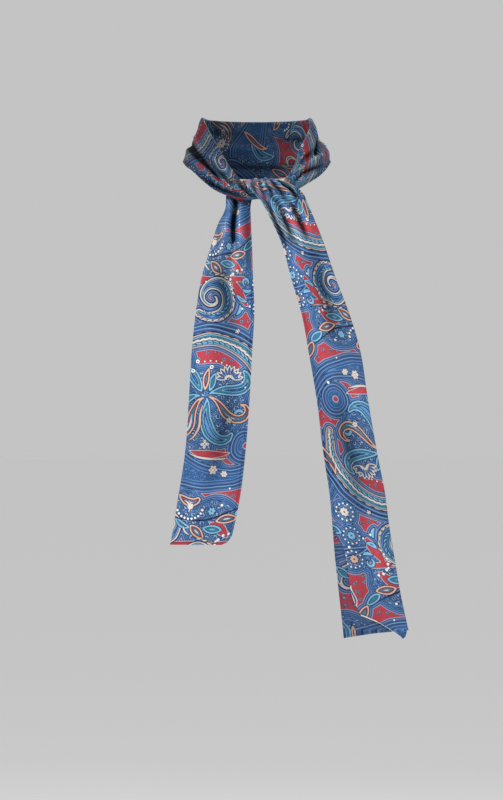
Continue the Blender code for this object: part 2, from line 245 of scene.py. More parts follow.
# The print's motifs, in millimetres on the flat cloth, with angles in degrees from the u axis
Stroke = namedtuple("Stroke", "ink u v heading length bend_first bend_last first middle last")
Eye = namedtuple("Eye", "ink u v turn length width")
Fan = namedtuple("Fan", "ink u v first_angle last_angle petals gap length width")
Arc = namedtuple("Arc", "ink u v radius first_angle last_angle first middle last")
Scroll = namedtuple("Scroll", "ink u v outer inner first_angle turns first middle last")
Chain = namedtuple("Chain", "ink u v radius first_angle last_angle beads size")
Plume = namedtuple("Plume", "ink u v radius first_angle last_angle barbs lean length width")
Spot = namedtuple("Spot", "ink u v size")

STROKES = table(Stroke, [
    # leaves beside the leaf eyes
    ("petal", 2, 54, -62, 30, 1.0, 3.4, 0.4, 3.4, 0.6),
    ("cream", 14, 40, -70, 17, 2.0, 4.0, 0.3, 1.0, 0.3),
    # the flower: its petals hang and curl round the heart
    ("petal", 33, 210, -86, 82, -1.0, 4.6, 0.5, 9.0, 3.0),
    ("petal", 50, 150, 168, 22, -7.0, -13.0, 2.6, 1.8, 0.5),
    ("peach", 29, 210, 196, 86, 4.4, -8.6, 0.5, 6.2, 1.4),
    ("peach", 27, 200, 262, 52, 0.8, -3.2, 0.5, 1.6, 0.5),
    ("petal", 36, 216, 26, 72, -2.6, 6.0, 0.5, 7.4, 2.2),
    ("peach", 35, 212, -14, 86, -3.2, 8.0, 0.5, 5.6, 1.4),
    ("petal", 24, 212, 172, 62, 3.6, -6.4, 0.5, 6.0, 1.6),
    ("petal", 25, 219, 124, 30, -2.0, 3.0, 1.2, 7.4, 4.4),
    ("peach", 30, 221, 88, 28, -2.0, 2.0, 0.8, 4.4, 0.8),
    ("petal", 36, 220, 60, 24, 2.0, -3.0, 0.8, 4.4, 1.0),
    ("petal", 84, 186, 96, 26, 7.0, 15.0, 0.6, 2.0, 0.6),
    # a question mark that carries beads
    ("body", 92, 371, 172, 62, 3.4, 2.0, 3.2, 4.8, 3.4),
    ("petal", 84, 357, 150, 24, -9.0, -16.0, 0.6, 1.6, 0.5),
    # the medallion's drop
    ("peach", 6, 82, -50, 30, 0.2, 7.0, 0.6, 5.6, 3.4),
    ("cream", 12, 74, -20, 22, -2.0, -9.0, 0.3, 1.2, 0.3),
    # the crescent with its cream belly
    ("red", 12, 141, -20, 56, 0.4, 1.0, 0.6, 4.8, 0.8),
    ("cream", 13, 137, -26, 54, 0.5, 1.2, 0.4, 1.4, 0.4),
    # red between the shapes, along the hem and above the scroll
    ("red", -4, 13, 2, 88, 0.0, 0.0, 8.0, 5.0, 4.0),
    ("red", 67, 362, -62, 34, 0.0, 0.0, 2.5, 6.5, 3.0),
    ("red", 50, 394, -20, 32, -1.0, -1.0, 1.5, 6.5, 2.0),
    # the broad swoosh of lines, and the line under the round body
    ("band", -24, 130, -30, 176, 0.10, 1.15, 27, 13.5, 8),
    ("navy", -10, 58, -32, 116, 0.9, 0.25, 0.6, 1.1, 0.7),
    # twigs between the scroll and the medallions
    ("petal", 72, 344, -62, 16, 4.0, 4.0, 0.6, 2.6, 0.5),
    ("petal", 80, 352, -30, 14, 4.0, 6.0, 0.6, 2.2, 0.5),
    ("petal", 70, 318, 40, 14, 4.0, 6.0, 0.6, 2.2, 0.5),
    # the back's side of the print
    ("cream", 116, 42, 62, 36, 5.0, -7.0, 0.5, 2.6, 0.5),
    ("cream", 124, 52, 10, 28, 7.0, 9.0, 0.5, 2.2, 0.5),
    ("petal", 134, 84, 104, 50, -2.0, -2.4, 0.6, 7.4, 2.2),
    ("peach", 146, 96, 84, 46, -2.4, 1.4, 0.6, 4.6, 0.8),
    ("peach", 130, 196, 98, 54, 2.4, -3.2, 0.6, 5.2, 0.8),
    ("petal", 143, 236, 70, 50, 2.0, -2.6, 0.6, 6.4, 2.0),
    ("peach", 150, 292, 64, 36, 3.0, 3.4, 0.6, 4.6, 0.8),
    ("band", 150, -6, 150, 66, 1.2, 0.4, 5, 8, 4),
])
EYES = table(Eye, [
    ("peach", 34, 32, -39, 28, 12),
    ("petal", 54, 36, -8, 28, 11),
    ("peach", 71, 49, 10, 31, 12),
    ("petal", 92, 62, 34, 27, 10),
    ("peach", 108, 80, 56, 27, 11),
    ("peach", 126, 6, 74, 27, 11),
    ("petal", 142, 26, 40, 27, 10),
    ("peach", 157, 330, -60, 27, 11),
    ("petal", 128, 318, -30, 26, 10),
])
FANS = table(Fan, [
    ("cream", 64, 233, 14, 172, 9, 3.0, 20, 3.0),
    ("cream", 22, 66, 0, 315, 8, 1.0, 4.4, 1.3),
    ("cream", 108, 295, 0, 315, 8, 1.4, 6.2, 1.7),
    ("petal", 104, 327, 0, 315, 8, 1.4, 5.6, 1.5),
    ("peach", 107, 359, 0, 315, 8, 1.4, 5.6, 1.5),
    ("cream", 46, 114, 0, 300, 6, 1.4, 6.0, 1.9),
    ("cream", 61, 109, 0, 300, 6, 1.0, 4.4, 1.4),
    ("petal", 51, 60, 0, 300, 6, 1.2, 5.0, 1.6),
    ("cream", 73, 297, 0, 288, 5, 0.6, 3.2, 1.0),
    ("petal", 41, 166, 0, 270, 4, 1.2, 5.0, 1.8),
    ("cream", 31, 148, 0, 270, 4, 1.4, 5.4, 2.0),
    ("cream", 152, 172, 0, 315, 8, 1.6, 8.0, 2.1),
    ("cream", 4, 176, 0, 300, 6, 1.2, 4.6, 1.5),
    ("cream", 64, 180, 0, 288, 5, 1.0, 4.0, 1.3),
])
ARCS = table(Arc, [
    # the blue disc behind the flower, the feathered arc about it and the lines outside
    ("body", 35, 198, 30, -90, 270, 22, 22, 22),
    ("plume", 35, 212, 74, -20, 122, 5.0, 9.6, 6.0),
    ("band", 35, 212, 90.5, -14, 120, 3.6, 5.4, 3.6),
    ("band", 87, 146, 8, 0, 360, 13.5, 13.5, 13.5),
    ("body", 54, 40, 22, 0, 360, 15, 15, 15),
    ("body", 40, 66, 26, 160, 350, 14, 16, 12),
    ("body", 140, 120, 24, 0, 360, 15, 15, 15),
    ("body", 146, 250, 22, 0, 360, 14, 14, 14),
])
SCROLLS = table(Scroll, [
    # inward spirals
    ("scroll", 36, 342, 28, 4.0, -134, 1.42, 5.0, 10.2, 1.5),
    ("scroll", 150, 38, 24, 3.0, 60, -1.2, 3.0, 7.2, 1.2),
])
PLUMES = table(Plume, [
    ("cream", 35, 212, 74, -17, 119, 22, 38, 15, 1.2),
    ("light", 35, 212, 71, -13, 121, 22, -44, 10, 0.9),
    ("navy", 35, 212, 83.4, -14, 114, 15, 8, 8.6, 1.0),
    ("cream", 36, 342, 31, -124, 84, 15, 42, 9, 1.0),
    ("light", 36, 342, 23, -118, 60, 12, -46, 8, 0.9),
])
CHAINS = table(Chain, [
    ("bead", 22, 66, 17, 196, 345, 10, 1.6),
    ("bead", 108, 295, 11.5, 0, 330, 12, 1.4),
    ("bead", 104, 327, 11.0, 0, 330, 12, 1.3),
    ("bead", 107, 359, 11.0, 0, 330, 12, 1.3),
    ("bead", 152, 172, 13, 0, 337.5, 16, 1.3),
    ("bead", 35, 206, 52, 20, 96, 10, 1.2),
])
SPOTS = table(Spot, [
    ("body", 108, 295, 16), ("body", 104, 327, 15), ("body", 107, 359, 15), ("body", 45, 112, 15),
    ("body", 62, 109, 9), ("body", 152, 172, 18), ("body", 30, 140, 13), ("red", 87, 146, 4.2),
    ("bead", 46, 114, 1.5), ("bead", 109, 343, 2.0), ("bead", 39, 250, 2.6), ("bead", 20, 258, 2.6),
    ("bead", 15, 245, 2.6), ("bead", 92, 124, 2.0), ("bead", 38, 62, 1.8), ("bead", 63, 67, 1.8),
    ("bead", 73, 297, 1.2), ("bead", 77, 326, 1.6), ("bead", 88, 330, 1.6), ("bead", 64, 352, 1.6),
    ("bead", 62, 358, 1.8), ("bead", 62, 365, 2.0), ("bead", 65, 372, 2.2), ("bead", 71, 377, 2.0),
    ("bead", 78, 379, 1.8), ("bead", 66, 347, 1.4), ("bead", 62, 20, 1.6), ("bead", 24, 12, 1.6),
    ("bead", 70, 90, 1.4),
])

# How the motifs' lines are drawn: into how many points, and with which half widths at their ends
STROKE_POINTS = 15
ARC_POINTS = 33
SCROLL_POINTS = 61
PETAL_POINTS = 5
BARB_POINTS = 7
PETAL_FOOT, PETAL_TIP = 0.3, 0.2
BARB_FOOT, BARB_TIP = 0.25, 0.2
BARB_BEND = -0.12           # degrees a millimetre, for each degree that it leans
SCROLL_CLOSING = 0.85       # how evenly a scroll winds in: 1 is evenly
SCROLL_WIDTH_AT = [0, 0.2, 0.42, 0.62, 1]
SCROLL_SHARES = (1, 0.86, 0.34)     # of its middle width, at the inner three of those places
DOT = 0.01                  # the length of the line that stands for a round dot

# The ground comes first and then the inks, in the order in which they are printed. Each has its colours
# by how deep a point lies inside its shapes, in millimetres, with how much stipple each colour takes
INKS = ["curl", "seed", "band", "red", "scroll", "plume", "petal", "peach", "cream", "light", "navy",
        "bead"]
HEX = {
    "red": "B63A47", "lavender": "7486B6", "blue": "406BA0", "mid": "305A90", "deep": "1E427A",
    "navy": "0E1B44", "light": "7EB8DA", "sky": "5C94CC", "pale": "98B8D8", "teal": "2F7590",
    "cream": "DBD1C8", "grey": "97A8BE", "peach": "DAB29E", "white": "EEF3F6", "wine": "86303F",
    # the reverse is a dark, dull blue: duller where less print shows through, and darker as painted shade
    # of the inner layer behind the outer one
    "reverse": "26324E", "hem": "E9E2DC",
}
RAMPS = {
    "ground": [(-12, "red", 0.2), (-5.6, "grey", 0), (-4.7, "blue", 0), (-3.8, "navy", 0),
               (-3.2, "lavender", 0), (-2.2, "blue", 0.3), (-1.0, "navy", 0), (-0.3, "sky", 0),
               (0.4, "deep", 0.6), (2.0, "sky", 0), (2.6, "navy", 0), (3.2, "blue", 1.0),
               (8.0, "sky", 0), (8.6, "mid", 1.0)],
    "curl": [(0, "pale", 0)],
    "seed": [(0, "pale", 0)],
    "band": [(0, "navy", 0), (0.7, "blue", 0.2), (2.0, "pale", 0), (2.6, "mid", 0), (4.2, "navy", 0),
             (4.9, "blue", 0), (6.6, "lavender", 0), (7.4, "mid", 0), (9.2, "navy", 0),
             (9.8, "sky", 0), (10.6, "mid", 1.0)],
    "scroll": [(0, "deep", 0), (0.5, "cream", 0), (2.2, "teal", 0), (3.4, "grey", 0),
               (4.4, "mid", 0.2), (6.2, "sky", 0), (7.0, "deep", 0), (8.2, "teal", 0)],
    "plume": [(0, "peach", 0), (1.2, "teal", 0), (2.6, "grey", 0), (3.6, "teal", 0.2),
              (6.6, "grey", 0), (7.6, "deep", 0)],
    "petal": [(0, "light", 0), (1.9, "navy", 0), (2.5, "teal", 1.0), (4.6, "light", 0),
              (5.3, "deep", 0.8), (7.0, "sky", 0)],
    "peach": [(0, "peach", 0), (1.8, "navy", 0), (2.4, "wine", 0), (3.4, "teal", 0.8),
              (5.0, "cream", 0.5)],
    "red": [(0, "cream", 0), (0.5, "red", 0.2)],
    "cream": [(0, "cream", 0), (1.4, "mid", 0)],
    "light": [(0, "light", 0)],
    "navy": [(0, "navy", 0)],
    "bead": [(0, "white", 0), (1.5, "navy", 0)],
}
# Shapes with a dark line round them, and how wide it is
OUTLINES = {"curl": 0.6, "seed": 0.4, "petal": 0.9, "peach": 0.9, "scroll": 1.0, "plume": 1.0,
            "cream": 0.6, "light": 0.5, "bead": 0.5}
PRINT_BLEED = 0.4           # how softly an ink ends
# The large shapes, which the ground's contour lines follow. Body is a shape of the ground alone
BODIES = ("band", "scroll", "plume", "petal", "peach", "body")

# The fillings: one small curl and at most one rosette to each cell, a little off its middle
FILLING_DEPTH = 3.6         # how deep inside the large shapes they lie
ROSETTES_OUTSIDE = 6.2      # how far outside them rosettes also lie, on the red
CURL_CELL = (11.0, 10.0)
CELL_JITTER = 0.9
CHANCE_STEPS = (12.99, 78.23, 37.72)    # steps and a spread that leave no pattern in the cells' chances
CHANCE_SPREAD = 43758.55
# A curl has its least radius and how much larger it may be, the angle that it sweeps, how much of its
# radius it loses on the way, its half width and how much that grows, and its head's radius
Curl = namedtuple("Curl", "radius more sweep closing line swell head")
CURL = Curl(2.5, 1.2, math.radians(285), 0.4, 0.35, 0.4, 1.15)
# A rosette has some dots, their distance from its middle, their radius, and a share that is left out
Rosette = namedtuple("Rosette", "dots radius dot missing")
ROSETTE = Rosette(5, 2.0, 0.8, 0.35)
# Pin dots and small rings in the fillings: spacing, outer and inner radius, colour and strength. Real
# ones are 0.5 mm dots 1.5 mm apart, drawn a little coarser so that they show
Stipple = namedtuple("Stipple", "spacing outer inner shade strength")
STIPPLES = [Stipple(2.3, 0.62, 0.0, "light", 0.5), Stipple(7.5, 1.9, 1.1, "lavender", 0.75)]

# The silk's finish, with lengths in millimetres
DYE_DRIFT = 38.0            # how far it is from lighter to darker dye,
DYE_LEVELS = (0.9, 1.06)    # and how dark and how light it gets
TWILL_SPACING = 0.9         # how far apart the ribs are drawn
TWILL_SLANT = 58.0          # degrees
WAVE_LENGTH = 0.314         # a wave texture's bands lie this far apart at scale 1
SLUB_LENGTH = 7.0           # uneven threads,
SLUB_SHARE = 0.8            # and their share of the relief
RELIEF = 0.25               # how high the threads stand
RELIEF_STRENGTH = 0.35
NOISE_RANGE = (0.3, 0.7)    # where nearly all of a noise texture's values lie
SMOOTHER, ROUGHER = 0.05, 0.06      # how much smoother and rougher than the silk its threads are
SILK_IOR = 1.54
THREAD_GLOSS = 0.3          # the specular level of flat silk
SHEEN_ROUGHNESS = 0.35
BLACK = (0, 0, 0, 1)
# The mix node's sockets for colours and for values share names, so they are given by number
COLOR_A, COLOR_B, COLOR_OUT = 6, 7, 2
VALUE_A, VALUE_B, VALUE_OUT = 2, 3, 0
HEM_WIDTH = 3.2             # how wide the narrow hems are,
HEM_EASE = 0.8              # and over how much they rise
HEM_SHADE = 0.4             # how dark the line is along which they are sewn down
HEM_ROLL = 1.3              # how wide the pale line of the right tail's rolled hem is,
HEM_ROLL_FROM = 0.1         # and how far from the fold it starts, of the folded width

# Painted shade and light, multiplied into the silk's colour: painted shade inside its folds and a painted
# highlight on their crests, and painted shade by its place where it is gathered
FOLD_FULL = 2.1             # the depth or height at which the shading is full, in millimetres
FOLD_SHADE = 0.88           # how much darker a fold then is inside
FOLD_LIGHT = 0.55           # how much lighter its crest is
GATHER_AT = [400, 500, 620, 700, 900, 1010, 1170, 1230]
GATHER_SHADE = [1.0, 0.6, 0.55, 0.35, 0.27, 0.36, 0.76, 1.0]

# The mesh
WALL_SKIP = 2               # squares of the face that shows for one inside the fold, across the cloth
ROLL_STEPS = 6              # round the lengthwise fold
BEHIND_KNOT = 507.0         # where the cloth is parted, in millimetres along the path: both places
INSIDE_KNOT = 1108.0        # lie hidden in the knot
SEAM_GAP = 0.3
SHARP_ANGLE = 55.0          # degrees: a sharper edge isn't shaded smooth
SAME = 1e-6                 # places closer than this are one

# The studio in metres, with its lamps in watts, and the camera, which is level with the tails' middle
FLOOR_Z = -1.5
FLOOR_HALF = 60.0
FLOOR_ROUGHNESS = 0.9
SoftBox = namedtuple("SoftBox", "name place size watts")
SOFT_BOXES = table(SoftBox, [
    ("soft_box_left", (-1.7, -1.9, 1.8), 0.7, 56),
    ("soft_box_right", (2.1, -2.0, 0.3), 1.5, 7),
    ("soft_box_behind", (0.4, 2.4, 1.4), 1.6, 26),
])
LIT_PLACE = (0.03, -0.16, -0.3)
ROOM_LIGHT = 0.55
FRAME_HEIGHT = 800          # pixels
FOCAL_PIXELS = 2432
SENSOR = 36.0               # millimetres
CAMERA_PLACE = (-0.0072, -3.370, -0.339)


def unit(vectors):
    """The same directions, each of length 1."""
    return vectors / np.linalg.norm(vectors, axis=-1, keepdims=True)


def neck_rows():
    """The sections round the back of the neck, from its right side to its left."""
    rows = []
    for step in range(NECK_STEPS + 1):
        turn = math.radians(90 - 180 * step / NECK_STEPS)
        back = math.cos(turn)
        row = Row(*[side + (nape - side) * back for side, nape in zip(NECK_SIDE, NAPE)])
        rows.append(row._replace(fold_x=NECK_SIDE.fold_x * math.sin(turn),
                                 free_x=NECK_SIDE.free_x * math.sin(turn)))
    return rows


def lay_path():
    """All rows in one array, and their distances along the path."""
    parts = [LEFT_TAIL, RIGHT_STRAND, neck_rows(), LEFT_STRAND, KNOT_WRAP, RIGHT_TAIL]
    rows = np.array([row for part in parts for row in part], dtype=float)
    middles = (rows[:, 0:3] + rows[:, 3:6]) / 2
    steps = np.linalg.norm(np.diff(middles, axis=0), axis=1)
    return rows, np.concatenate([[0.0], np.cumsum(steps)])


ROWS, DISTANCE = lay_path()
PATH_START = DISTANCE[0] + LEFT_HEM
PATH_END = DISTANCE[-1] + RIGHT_HEM


def read_rows(along):
    """A smooth curve through every column of the rows, read at the given distances."""
    slope = np.gradient(ROWS, DISTANCE, axis=0)
    low = np.clip(np.searchsorted(DISTANCE, along, side="right") - 1, 0, len(DISTANCE) - 2)
    span = DISTANCE[low + 1] - DISTANCE[low]
    t = ((along - DISTANCE[low]) / span)[..., None]
    span = span[..., None]
    value = (ROWS[low] * (1 + 2 * t) * (1 - t) ** 2 + ROWS[low + 1] * t ** 2 * (3 - 2 * t)
             + slope[low] * span * t * (1 - t) ** 2 - slope[low + 1] * span * t ** 2 * (1 - t))
    return Row(*np.moveaxis(value, -1, 0))


def edges(along):
    """The folded and the free edge of the section at a distance, and the section's other columns."""
    row = read_rows(along)
    return (np.stack([row.fold_x, row.fold_y, row.fold_z], axis=-1),
            np.stack([row.free_x, row.free_y, row.free_z], axis=-1), row)


def fold_rise(along, across, width):
    """How far the finer folds raise or sink the cloth."""
    rise = np.zeros(along.shape)
    for fold in FOLDS:
        low = min(fold.along, fold.to_along) - FOLD_OVER * fold.reach
        high = max(fold.along, fold.to_along) + FOLD_OVER * fold.reach
        near = (along > low) & (along < high)
        if not near.any():
            continue
        here = width[near]
        run = fold.to_along - fold.along
        climb = (fold.to_across - fold.across) * here
        x = along[near] - fold.along
        y = (across[near] - fold.across) * here
        t = np.clip((x * run + y * climb) / (run ** 2 + climb ** 2), 0, 1)
        off = np.hypot(x - t * run, y - t * climb)
        # a fold is deepest in its middle and fades towards both ends
        strength = FOLD_ENDS + (1 - FOLD_ENDS) * np.sin(math.pi * t)
        rise[near] += fold.rise * strength * np.exp(-(off / fold.reach) ** 2)
    return rise


def middle(along, across, folded=False):
    """The surface halfway between the two layers, with its bow, crease and ripples, and if it is folded
    with its finer folds too."""
    fold, free, row = edges(along)
    ahead = sum(edges(along + STEP_ALONG)[:2])
    behind = sum(edges(along - STEP_ALONG)[:2])
    outward = unit(np.cross(free - fold, ahead - behind))
    rise = row.bow * 4 * across * (1 - across)
    rise = rise - row.depth * np.exp(-((across - row.crease) / CREASE_REACH) ** 2)
    rise = rise + row.ripple * np.cos(2 * math.pi * RIPPLES * across)
    if folded:
        rise = rise + fold_rise(along, across, np.linalg.norm(free - fold, axis=-1))
    return fold + (free - fold) * across[..., None] + outward * rise[..., None]


def cloth_point(along, across, turn, inset):
    """A point of the cloth's wall, in metres. The turn is 0 on the outer layer and pi on the inner one,
    and the inset is how far it lies below the face that shows."""
    centre = middle(along, across, folded=True)
    # square to the surface without its finer folds, so that tight ones hardly run through themselves
    down_path = middle(along + STEP_ALONG, across) - middle(along - STEP_ALONG, across)
    to_free = unit(middle(along, across + STEP_ACROSS) - middle(along, across - STEP_ACROSS))
    outward = unit(np.cross(to_free, down_path))
    half = PLY_REACH + FOLD_ROLL * np.exp(-across / ROLL_REACH) - inset
    stand_off = outward * np.cos(turn)[..., None] - to_free * np.sin(turn)[..., None]
    return (centre + stand_off * half[..., None]) * MM


def hem_offset(line, across, turn):
    """How far each column's end lies from the straight hem, in millimetres along the path."""
    places = [point.across for point in line]
    outer = np.interp(across, places, [point.outer for point in line])
    inner = np.interp(across, places, [point.inner for point in line])
    return np.where(turn < math.pi / 2, outer, inner)


def local(u, v, centre):
    """Places measured from a motif, on whichever repeat of it lies nearest."""
    du = (u - centre[0] + REPEAT_ACROSS / 2) % REPEAT_ACROSS - REPEAT_ACROSS / 2
    dv = (v - centre[1] + REPEAT_ALONG / 2) % REPEAT_ALONG - REPEAT_ALONG / 2
    return du, dv


def line_distance(du, dv, line, width):
    """Distance to the edge of a line whose half width changes from point to point."""
    low = line.min(0) - width.max() - REACH
    high = line.max(0) + width.max() + REACH
    near = (du > low[0]) & (du < high[0]) & (dv > low[1]) & (dv < high[1])
    pu = du[near]
    pv = dv[near]
    found = np.full(pu.shape, REACH)
    for a, b, wide, wide_next in zip(line, line[1:], width, width[1:]):
        run = b - a
        t = np.clip(((pu - a[0]) * run[0] + (pv - a[1]) * run[1]) / (run @ run), 0, 1)
        away = np.hypot(pu - a[0] - t * run[0], pv - a[1] - t * run[1])
        found = np.minimum(found, away - wide - (wide_next - wide) * t)
    distance = np.full(du.shape, REACH)
    distance[near] = found
    return distance


def eye_distance(du, dv, eye):
    """Distance to the edge of an almond, the part that two equal circles share."""
    cosine, sine = math.cos(math.radians(eye.turn)), math.sin(math.radians(eye.turn))
    x = np.abs(du * sine - dv * cosine)
    y = np.abs(du * cosine + dv * sine)
    half = eye.length / 2
    offset = (half ** 2 - (eye.width / 2) ** 2) / eye.width
    tip = (y - half) * offset > x * half
    return np.where(tip, np.hypot(x, y - half), np.hypot(x + offset, y) - offset - eye.width / 2)


def cells(u, v, shift):
    """Places measured from near the middle of their cell, and a function that draws each cell's own
    chances, from 0 to 1."""
    column, row = [np.floor(place / size + shift) for place, size in zip((u, v), CURL_CELL)]
    x, y = [place - (cell + 0.5 - shift) * size
            for place, cell, size in zip((u, v), (column, row), CURL_CELL)]
    column = column % round(REPEAT_ACROSS / CURL_CELL[0])
    row = row % round(REPEAT_ALONG / CURL_CELL[1])

    def chance(number):
        angle = sum(step * count for step, count in zip(CHANCE_STEPS, (column, row, number)))
        return np.modf(np.abs(np.sin(angle) * CHANCE_SPREAD))[0]

    x = x + chance(1) * 2 * CELL_JITTER - CELL_JITTER
    y = y + chance(2) * 2 * CELL_JITTER - CELL_JITTER
    return x, y, chance


def curl_distance(u, v):
    """Distance to the small comma curls of the fillings."""
    x, y, chance = cells(u, v, 0.0)
    turn = chance(3) * 2 * math.pi
    x, y = x * np.cos(turn) + y * np.sin(turn), y * np.cos(turn) - x * np.sin(turn)
    y = np.where(chance(4) > 0.5, y, -y)
    radius = CURL.radius + CURL.more * chance(5)
    part = (np.arctan2(y, x) % (2 * math.pi)) / CURL.sweep
    line = np.abs(np.hypot(x, y) - radius * (1 - CURL.closing * part)) - CURL.line - CURL.swell * part
    end = (1 - CURL.closing) * radius
    head = np.hypot(x - end * math.cos(CURL.sweep), y - end * math.sin(CURL.sweep)) - CURL.head
    return np.minimum(np.where(part < 1, line, REACH), head)


def rosette_distance(u, v):
    """Distance to the small rosettes of dots between the curls."""
    x, y, chance = cells(u, v, 0.5)
    sector = 2 * math.pi / ROSETTE.dots
    angle = (np.arctan2(y, x) + chance(3) * sector) % sector - sector / 2
    away = np.hypot(x, y)
    dots = np.hypot(away * np.cos(angle) - ROSETTE.radius, away * np.sin(angle)) - ROSETTE.dot
    return np.where(chance(6) > ROSETTE.missing, dots, REACH)


def swell(first, middle_width, last, count):
    """Half widths along a line that has three of them given."""
    t = np.linspace(0, 1, count)
    return first * (1 - t) * (1 - 2 * t) + middle_width * 4 * t * (1 - t) + last * t * (2 * t - 1)


def curve(heading, length, bend_first, bend_last, count):
    """A line that starts with a heading and bends by so many degrees a millimetre."""
    s = np.linspace(0, length, count)
    angle = np.radians(heading + bend_first * s + (bend_last - bend_first) * s ** 2 / (2 * length))
    angle = (angle[1:] + angle[:-1]) / 2
    steps = np.stack([np.cos(angle), np.sin(angle)], 1) * length / (count - 1)
    return np.concatenate([[[0.0, 0.0]], np.cumsum(steps, 0)])


def spokes(first_angle, last_angle, count):
    """Directions at even angles."""
    angle = np.radians(np.linspace(first_angle, last_angle, count))
    return np.stack([np.cos(angle), np.sin(angle)], 1)


def motif_lines():
    """Every motif but the almonds, with its line and the half widths along it."""
    for m in STROKES:
        line = curve(m.heading, m.length, m.bend_first, m.bend_last, STROKE_POINTS)
        yield m, line, swell(m.first, m.middle, m.last, STROKE_POINTS)
    for m in ARCS:
        line = spokes(m.first_angle, m.last_angle, ARC_POINTS) * m.radius
        yield m, line, swell(m.first, m.middle, m.last, ARC_POINTS)
    for m in SCROLLS:
        t = np.linspace(0, 1, SCROLL_POINTS)
        radius = m.inner + (m.outer - m.inner) * (1 - t) ** SCROLL_CLOSING
        line = spokes(m.first_angle, m.first_angle + 360 * m.turns, SCROLL_POINTS) * radius[:, None]
        widths = [m.first, *[m.middle * share for share in SCROLL_SHARES], m.last]
        yield m, line, np.interp(t, SCROLL_WIDTH_AT, widths)
    for m in FANS:
        width = swell(PETAL_FOOT, m.width, PETAL_TIP, PETAL_POINTS)
        for spoke in spokes(m.first_angle, m.last_angle, m.petals):
            yield m, spoke * np.linspace(m.gap, m.length, PETAL_POINTS)[:, None], width
    for m in PLUMES:
        bend = m.lean * BARB_BEND
        width = swell(BARB_FOOT, m.width, BARB_TIP, BARB_POINTS)
        for angle in np.linspace(m.first_angle, m.last_angle, m.barbs):
            line = curve(angle + 90 + m.lean, m.length, bend, bend, BARB_POINTS)
            line = line - line[BARB_POINTS // 2] + spokes(angle, angle, 1)[0] * m.radius
            yield m, line, width
    for m in CHAINS:
        for spoke in spokes(m.first_angle, m.last_angle, m.beads):
            yield m, np.array([spoke * m.radius, spoke * (m.radius + DOT)]), np.full(2, m.size)
    for m in SPOTS:
        yield m, np.array([[0.0, 0.0], [DOT, 0.0]]), np.full(2, m.size)


def print_fields(u, v):
    """For every ink the distance to its nearest shape, and for the ground that to any large shape."""
    found = {ink: np.full(u.shape, REACH) for ink in ["ground", *INKS]}

    def add(ink, distance):
        if ink in found:
            found[ink] = np.minimum(found[ink], distance)
        if ink in BODIES:
            found["ground"] = np.minimum(found["ground"], distance)

    for motif, line, width in motif_lines():
        centre = (line.min(0) + line.max(0)) / 2
        du, dv = local(u, v, centre + [motif.u, motif.v])
        add(motif.ink, line_distance(du, dv, line - centre, width))
    for eye in EYES:
        du, dv = local(u, v, (eye.u, eye.v))
        add(eye.ink, eye_distance(du, dv, eye))
    ground = found["ground"]
    filled = ground + FILLING_DEPTH
    found["curl"] = np.maximum(curl_distance(u, v), filled)
    found["seed"] = np.maximum(rosette_distance(u, v), np.minimum(filled, ROSETTES_OUTSIDE - ground))
    return found


def linear(hex_color):
    """A colour given as sRGB hex, as the linear values that the shaders take."""
    values = [int(hex_color[i:i + 2], 16) / 255 for i in (0, 2, 4)]
    return (*[x / 12.92 if x <= 0.04045 else ((x + 0.055) / 1.055) ** 2.4 for x in values], 1.0)


def add_node(tree, kind, settings=None, inputs=None, steps=()):
    """A node with its settings, its input values and links, and a colour ramp's hard steps."""
    node = tree.nodes.new(kind)
    for name, value in (settings or {}).items():
        setattr(node, name, value)
    for name, value in (inputs or {}).items():
        if isinstance(value, bpy.types.NodeSocket):
            tree.links.new(value, node.inputs[name])
        else:
            node.inputs[name].default_value = value
    if steps:
        elements = node.color_ramp.elements
        node.color_ramp.interpolation = "CONSTANT"
        while len(elements) > len(steps):
            elements.remove(elements[-1])
        while len(elements) < len(steps):
            elements.new(1.0)
        for element, (place, color) in zip(elements, steps):
            element.position = place
            element.color = color
    return node


def depth_place(depth):
    """Where a depth inside a shape lies on the 0 to 1 scale that the attributes hold."""
    return np.clip(0.5 + depth / (2 * REACH), 0, 1)


